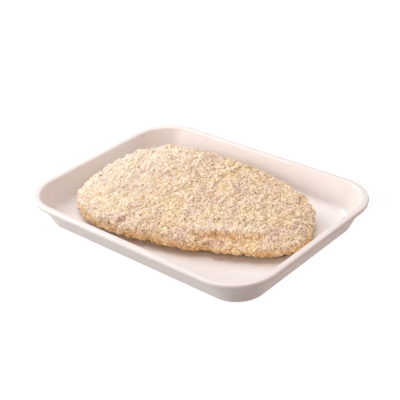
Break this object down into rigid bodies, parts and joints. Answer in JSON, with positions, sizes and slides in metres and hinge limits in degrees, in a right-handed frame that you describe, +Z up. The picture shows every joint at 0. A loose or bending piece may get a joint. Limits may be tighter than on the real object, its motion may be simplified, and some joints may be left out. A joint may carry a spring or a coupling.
{
  "type": "breaded schnitzel in a tray",
  "caption": "Uncooked breaded schnitzel, a flat cutlet in a pale crumb coat, lying in a shallow white rectangular tray with a rolled-out lip.",
  "frame": {"origin": "middle of the tray's base, on the surface it stands on", "axes": "+X along the tray's length, +Y across it, +Z up"},
  "size_m": [0.22, 0.163, 0.026],
  "materials": {
    "tray_plastic": "satin white moulded plastic",
    "crumb_coat": "rough dry breadcrumbs over raw meat"
  },
  "bodies": {
    "root": {"tray": "tray_plastic", "schnitzel": "crumb_coat"}
  },
  "joints": []
}
